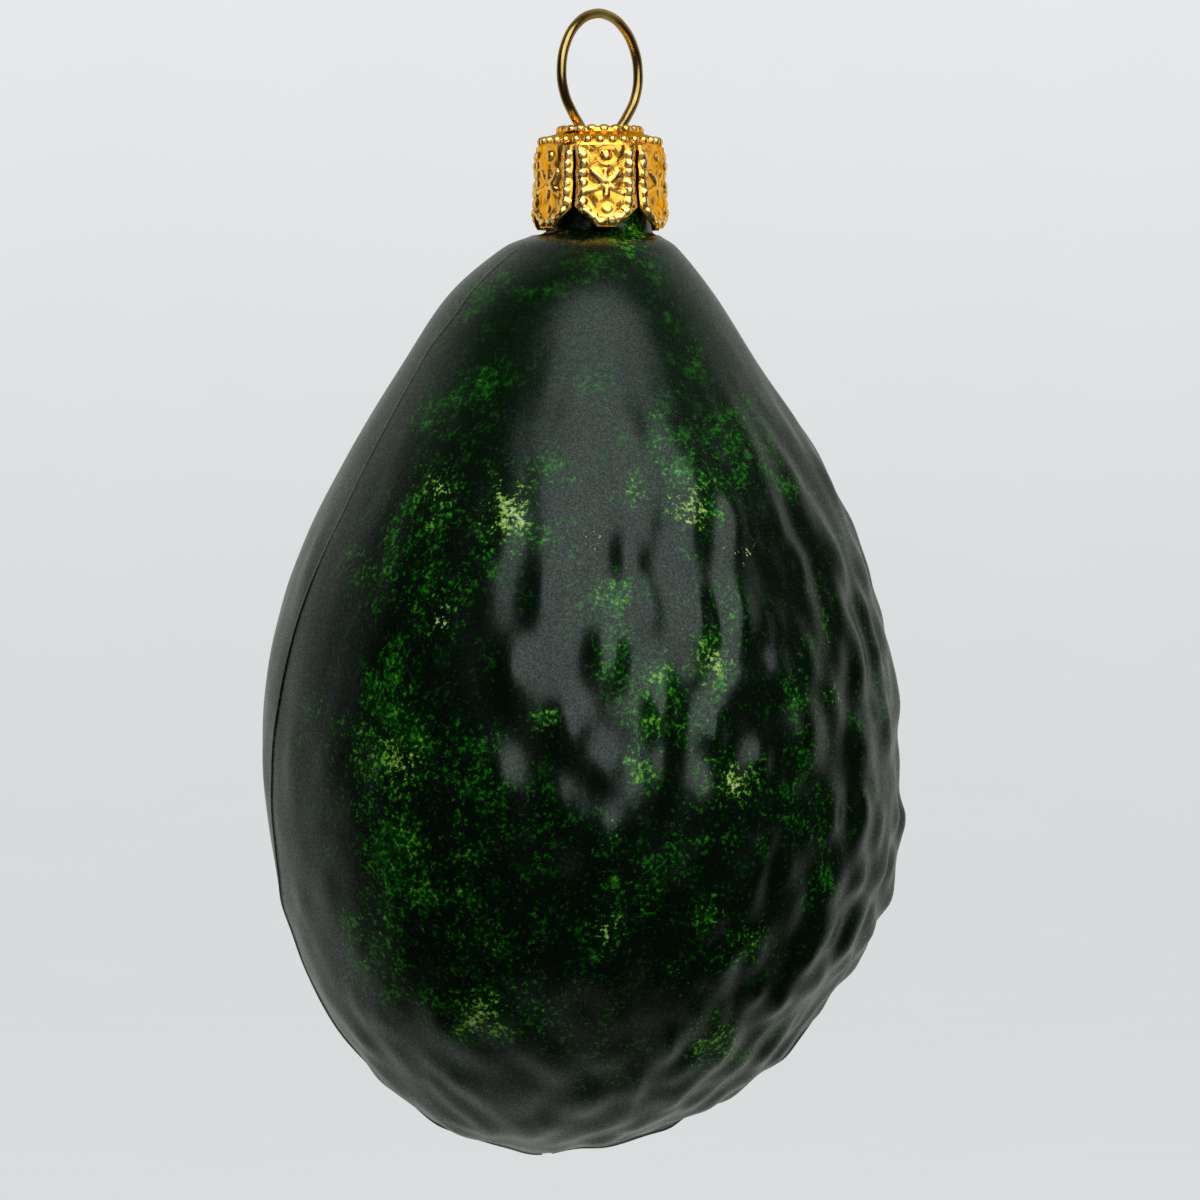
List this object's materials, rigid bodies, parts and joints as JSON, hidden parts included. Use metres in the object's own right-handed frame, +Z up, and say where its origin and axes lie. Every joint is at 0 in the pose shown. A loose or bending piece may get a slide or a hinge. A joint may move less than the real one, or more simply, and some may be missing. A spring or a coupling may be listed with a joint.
{
  "type": "avocado-shaped blown-glass christmas ornament",
  "caption": "Hollow blown-glass ornament shaped like an avocado with lumpy green skin, closed by a stamped metal crown cap and hung by a sprung wire loop.",
  "frame": {"origin": "inside top of the wire loop, where a hook or branch carries it", "axes": "+Z up along the hanging line, -Y the front with the lumpy flank on the right, +X to the right seen from the front"},
  "size_m": [0.0586, 0.0565, 0.1053],
  "materials": {
    "lacquered_glass": "opaque dark green lacquer, satin, with bright green and pale flecks, over thin silvered glass",
    "gilt_sheet": "gold-coloured pressed sheet, bright",
    "brass_wire": "bright drawn wire, slightly toned"
  },
  "bodies": {
    "root": {"glass_body": "lacquered_glass", "crown_cap": "gilt_sheet", "wire_hanger": "brass_wire"}
  },
  "joints": []
}
